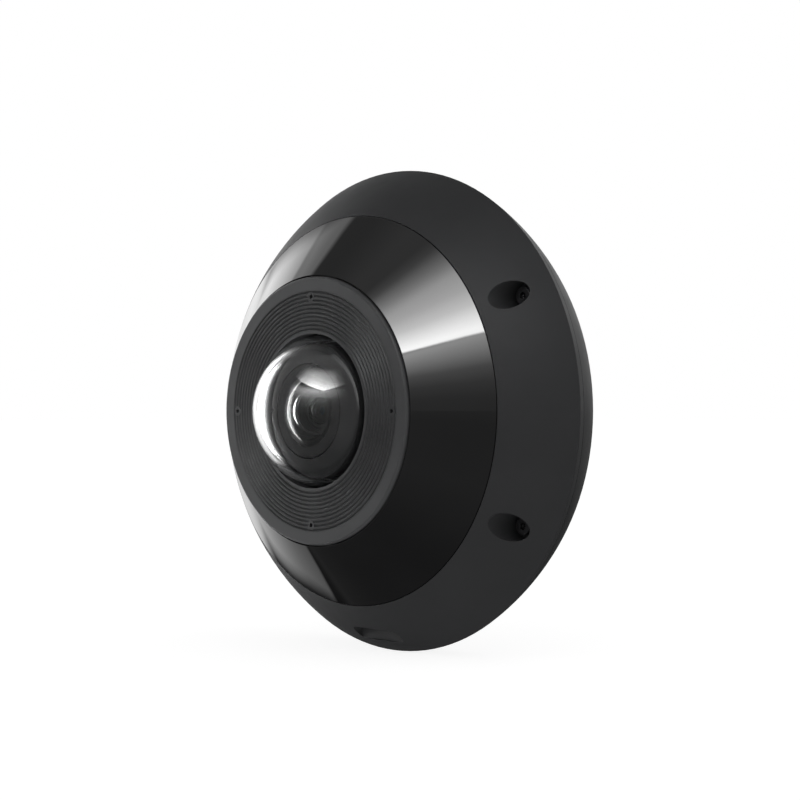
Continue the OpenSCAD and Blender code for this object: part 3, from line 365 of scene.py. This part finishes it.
# Electronics
dress(board("solder_mask_green", (0.012, 0.075, 0.040), (0.035, 0.16, 0.085)),
      "main_board", "sensor_board", "mic_board")
dress(board("solder_mask_white", (0.62, 0.62, 0.59), (0.74, 0.73, 0.69)), "lamp_board")
dress(surface("chip_moulding", (0.018, 0.018, 0.019), 0.45, mottle=0.1, grain=0.0002), "main_chip")
dress(surface("flex_film", (0.42, 0.19, 0.035), 0.30, mottle=0.12, mottle_size=0.003, grain=0.0008,
              bump=0.000006, stretch=(1, 0.1, 1), fleck=0.5, coat=0.4),
      "sensor_flex", "mic_flex", "lamp_flex")
dress(surface("lamp_resin", (0.62, 0.58, 0.44), 0.12, mottle_size=0.001, grain=0.0004, bump=0.000004,
              coat=1.0), "infrared_lamps")
dress(surface("socket_moulding", (0.020, 0.020, 0.021), 0.38, mottle=0.1, edge=0.0002),
      "network_socket", "reset_switch")

# Button and vent
dress(surface("plunger_moulding", (0.55, 0.55, 0.56), 0.45, mottle=0.06), "reset_plunger")
dress(surface("button_moulding", (0.42, 0.045, 0.03), 0.42, edge=0.0002), "reset_button")
dress(surface("vent_membrane", (0.60, 0.60, 0.57), 0.70, mottle=0.10, mottle_size=0.002, grain=0.0002,
              bump=0.00003, fleck=0.5), "pressure_vent")

# Floor under the rim: it shows white to the camera, keeps the object's shadow and is in no reflection
FLOOR_HALF = 12
FLOOR_TONE = 0.40
FLOOR_GLOW = 0.86
floor_look, ft, floor_shader = shader("floor_pale")
floor_shader.inputs["Base Color"].default_value = (FLOOR_TONE, FLOOR_TONE, FLOOR_TONE, 1)
floor_shader.inputs["Roughness"].default_value = 1.0
floor_shader.inputs["Specular IOR Level"].default_value = 0.0
floor_shader.inputs["Emission Color"].default_value = WHITE
ft.links.new(math_node(ft, "MULTIPLY", open_view(ft), FLOOR_GLOW), floor_shader.inputs["Emission Strength"])
glossy_depth = add(ft, "ShaderNodeLightPath").outputs["Glossy Depth"]
bounced = math_node(ft, "GREATER_THAN", glossy_depth, FIRST_BOUNCE)
cover(ft, floor_shader, add(ft, "ShaderNodeBsdfTransparent"), bounced)
mesh = bpy.data.meshes.new("floor")
corners = [(x * FLOOR_HALF, y * FLOOR_HALF, cad_box[0].z) for x, y in ((-1, -1), (1, -1), (1, 1), (-1, 1))]
mesh.from_pydata(corners, [], [(0, 1, 2, 3)])
mesh.materials.append(floor_look)
floor = bpy.data.objects.new("floor", mesh)
scene.collection.objects.link(floor)
floor.visible_glossy = False
floor.visible_diffuse = False
floor.visible_shadow = False

# Studio: white to the camera, a plain soft light on every surface, and for what is glossy a dim room
# with a key box over the camera, a side strip and white sheets beside and behind the object
world = bpy.data.worlds.new("studio")
scene.world = world
world.use_nodes = True
wt = world.node_tree
wt.nodes.clear()


def chain(operation, levels):
    """One level out of several, by the same operation from the first to the last."""
    out = levels[0]
    for v in levels[1:]:
        out = math_node(wt, operation, out, v)
    return out


def times(*levels):
    return chain("MULTIPLY", levels)


def plus(*levels):
    return chain("ADD", levels)


def most(*levels):
    return chain("MAXIMUM", levels)


def less(whole, part):
    return math_node(wt, "SUBTRACT", whole, part)


def size_of(value):
    return math_node(wt, "ABSOLUTE", value)


def along(value, points, low, high):
    """Piecewise-linear level between low and high, through (value, level) points with levels up to 1."""
    ramp = add(wt, "ShaderNodeValToRGB")
    ramp.color_ramp.interpolation = "LINEAR"
    stops = ramp.color_ramp.elements
    while len(stops) > 1:
        stops.remove(stops[-1])
    for i, (at, level) in enumerate(points):
        share = (at - low) / (high - low)
        stop = stops[0] if i == 0 else stops.new(share)
        stop.position = share
        stop.color = (level, level, level, 1)
    wt.links.new(spread(wt, value, 0, 1, low, high), ramp.inputs["Fac"])
    return ramp.outputs["Color"]


# Where a ray looks, in degrees: azimuth 0 is in front of the lens and 90 is at +X
DEG = 180 / math.pi
xyz = add(wt, "ShaderNodeSeparateXYZ")
wt.links.new(add(wt, "ShaderNodeTexCoord").outputs["Generated"], xyz.inputs[0])
wx, wy, wz = xyz.outputs["X"], xyz.outputs["Y"], xyz.outputs["Z"]
azimuth = times(math_node(wt, "ARCTAN2", wx, times(wy, -1)), DEG)
elevation = times(math_node(wt, "ARCSINE", wz), DEG)


def by_azimuth(*points, value=azimuth):
    return along(value, points, -180, 180)


def by_elevation(*points):
    return along(elevation, points, -90, 90)


# Key box over the camera, with a faint glow under it. It is hottest along its sharp lower edge, which is
# lowest at the azimuth KEY_LOW and rises by KEY_TILT in a degree to both sides
KEY_PEAK = 32
KEY_TILT = 0.25
KEY_LOW = 38
KEY_EDGE_RANGE = (-150, 90)
key_body = by_elevation((29, 0.95), (33, 0.93), (36, 0.78), (42, 0.48), (48, 0.32), (54, 0.235),
                        (60, 0.10), (65, 0.0))
key_over_edge = less(elevation, times(size_of(less(azimuth, KEY_LOW)), KEY_TILT))
key_edge = along(key_over_edge, [(28.9, 0), (29.9, 1)], *KEY_EDGE_RANGE)
key_glow = by_elevation((-5, 0), (6, 0.009), (12, 0.020), (18, 0.050), (24, 0.15), (30, 0.25), (36, 0))
key_swing = by_azimuth((-24, 0), (-12, 0.22), (-4, 0.55), (4, 0.74), (12, 1.0), (22, 1.0), (30, 0.96),
                       (38, 0.76), (48, 0.62), (56, 0.45), (66, 0.12), (78, 0.0))
key = times(most(times(key_body, key_edge), key_glow), key_swing, KEY_PEAK)

# Strip to the left of the lens, whose right side bends back above and below the level
STRIP_PEAK = 11.5
STRIP_BEND = 0.0155
strip_bent = plus(azimuth, times(elevation, elevation, STRIP_BEND))
strip_right = by_azimuth((-70, 1), (-67.5, 0.75), (-64, 0.3), (-59, 0.1), (-53, 0.02), (-48, 0),
                         value=strip_bent)
strip_left = by_azimuth((-88, 0), (-86, 1))
strip_rise = by_elevation((-40, 0), (-35, 1), (35, 1), (40, 0))
strip = times(strip_rise, strip_right, strip_left, STRIP_PEAK)

# White sheet to the left: its light is uneven and, above and below the level, it is darker in slanting
# folds, which show in the window. tilt grows away from the level and to the left, and past FOLD it is folded
SHEET_PEAK = 2.65
FOLD = 157.2
FOLD_SLOPE = 1.25
TILT_RANGE = (0, 320)
above = math_node(wt, "GREATER_THAN", elevation, 0)
below = less(1, above)
tilt = less(size_of(elevation), times(azimuth, FOLD_SLOPE))
left_rise = by_elevation((-38.6, 0.02), (-37.6, 0.30), (-30, 0.34), (-22, 0.42), (-12, 0.50), (-6, 0.59),
                         (6, 0.63), (12, 0.74), (16, 1.0), (24, 0.96), (32, 0.78), (35, 0.91), (43, 0.70),
                         (50, 0.5), (90, 0.2))
level_band = times(by_elevation((-16, 0), (-11, 1), (11, 1), (16, 0)), by_azimuth((-136, 0.15), (-120, 1)))
far_left = times(by_elevation((-14, 0), (-1, 0.6), (8, 0.75), (40, 0.75), (60, 0.3)),
                 by_azimuth((-130, 1), (-120, 0)))
unfolded = most(level_band, far_left)
fold_upper = along(tilt, [(FOLD - 0.3, 1), (FOLD + 0.2, 0.4), (FOLD + 0.7, 0.5), (FOLD + 1.2, 0.75),
                          (FOLD + 5, 0.75), (FOLD + 8, 0.3), (FOLD + 30, 0.2)], *TILT_RANGE)
fold_lower = along(tilt, [(FOLD - 0.3, 1), (FOLD + 0.3, 0.07), (FOLD + 1.5, 0.12)], *TILT_RANGE)
left_upper = times(above, by_azimuth((-99.6, 1), (-98.6, 0.57), (-89, 0.52), (-88.2, 0)),
                   most(fold_upper, unfolded))
left_lower = times(below, by_azimuth((-89, 0.87), (-88.2, 0)), most(fold_lower, unfolded))
left_sheet = times(left_rise, plus(left_upper, left_lower))

# White sheet behind and to the right
right_rise = by_elevation((-60, 0.01), (-8, 0.03), (2, 0.2), (12, 0.6), (22, 0.95), (50, 0.8), (90, 0.2))
right_sheet = times(right_rise, by_azimuth((88, 0), (92, 1)))
sheet = times(plus(left_sheet, right_sheet), SHEET_PEAK)

# Dim room in front, darker to the left
in_front = by_azimuth((-92, 0), (-88.5, 0.47), (-84, 0.50), (-76, 0.55), (-60, 0.74), (-44, 0.94),
                      (-28, 1), (88, 1), (92, 0))
room_rise = by_elevation((-90, 0.10), (-66, 0.13), (-60, 0.155), (-48, 0.23), (-30, 0.33), (-12, 0.32),
                         (0, 0.34), (30, 0.37), (54, 0.52), (62, 0.62), (90, 0.62))
studio = plus(key, strip, sheet, times(in_front, room_rise))

# Plain light: a little stronger from over the camera and from the pale floor in front, and weaker from
# above on the left and from behind. Each FROM is a direction
PLAIN_LEVEL = 0.74
PLAIN_BEHIND = 0.85
KEY_SHARE = 0.32
KEY_FROM = (0.61, -0.61, 0.5)
FLOOR_SHARE = 0.9
FLOOR_BEHIND = 0.1
FLOOR_FROM = (0.15, 0, -0.98)
DIM_SHARE = 0.7
DIM_FROM = (-0.5, 0, 0.8)


def facing(direction):
    """How much a ray looks in a direction, and 0 where it looks away from it."""
    return most(plus(*[times(w, share) for w, share in zip((wx, wy, wz), direction) if share]), 0)


plain_depth = spread(wt, wy, 1, PLAIN_BEHIND, from_low=-0.4, from_high=0.6)
floor_depth = spread(wt, wy, 1, FLOOR_BEHIND, from_low=-0.3, from_high=0.3)
undimmed = less(1, times(facing(DIM_FROM), DIM_SHARE))
plain = plus(times(facing(KEY_FROM), KEY_SHARE), times(plain_depth, PLAIN_LEVEL, undimmed),
             times(facing(FLOOR_FROM), floor_depth, FLOOR_SHARE))

# What a ray meets: white for the camera, the studio for a mirrored ray, the plain light for all others.
# The levels above were set for a background of this grey
LIT_GREY = (0.8, 0.8, 0.8, 1)
mirrored = add(wt, "ShaderNodeLightPath").outputs["Is Glossy Ray"]
lit = add(wt, "ShaderNodeBackground", Color=LIT_GREY)
wt.links.new(plus(times(studio, mirrored), times(plain, less(1, mirrored))), lit.inputs["Strength"])
white = add(wt, "ShaderNodeBackground", Color=WHITE, Strength=1.0)
both = add(wt, "ShaderNodeMixShader")
wt.links.new(open_view(wt), both.inputs[0])
wt.links.new(lit.outputs[0], both.inputs[1])
wt.links.new(white.outputs[0], both.inputs[2])
wt.links.new(both.outputs[0], add(wt, "ShaderNodeOutputWorld").inputs["Surface"])

# Camera, solved from the circles in the photograph and given in its 800 x 800 frame. It stands level and
# turned by CAMERA_TURN degrees
IMAGE = 800
FOCAL_PX = 1755.1
CENTRE_ROW = 411
CAMERA_AT = (0.4208, -0.4334, 0.0)
CAMERA_TURN = 45.04
SENSOR_MM = 36
CLIP_NEAR = 0.01
CLIP_FAR = 100
lens = bpy.data.cameras.new("camera")
lens.sensor_width = SENSOR_MM
lens.lens = SENSOR_MM * FOCAL_PX / IMAGE
lens.shift_y = (CENTRE_ROW - IMAGE / 2) / IMAGE
lens.clip_start = CLIP_NEAR
lens.clip_end = CLIP_FAR
lens.dof.use_dof = False
camera = bpy.data.objects.new("camera", lens)
scene.collection.objects.link(camera)
camera.location = CAMERA_AT
camera.rotation_euler = (math.pi / 2, 0, math.radians(CAMERA_TURN))
scene.camera = camera

scene.view_settings.view_transform = "Standard"
